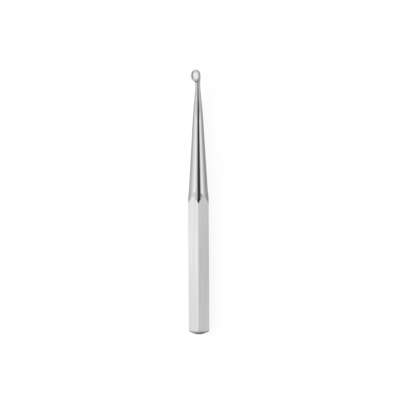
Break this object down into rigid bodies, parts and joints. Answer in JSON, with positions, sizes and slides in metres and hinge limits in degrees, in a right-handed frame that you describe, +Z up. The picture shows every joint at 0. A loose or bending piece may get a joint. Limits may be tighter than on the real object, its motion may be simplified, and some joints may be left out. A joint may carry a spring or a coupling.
{
  "type": "bone curette",
  "caption": "Straight bone curette: a hexagonal handle with a domed butt runs through scallops into a long polished taper and a small oval scoop for scraping bone.",
  "frame": {"origin": "middle of the bounding box's underside, on the surface that the instrument lies on", "axes": "+Y along the bar from the butt to the scoop, +Z up, out of the scoop's opening, +X to the side"},
  "size_m": [0.0146, 0.1649, 0.0127],
  "materials": {
    "instrument_steel": "satin flats brushed lengthwise, and a mirror polish on the butt, the shank and the scoop"
  },
  "bodies": {
    "root": {"curette": "instrument_steel"}
  },
  "joints": []
}
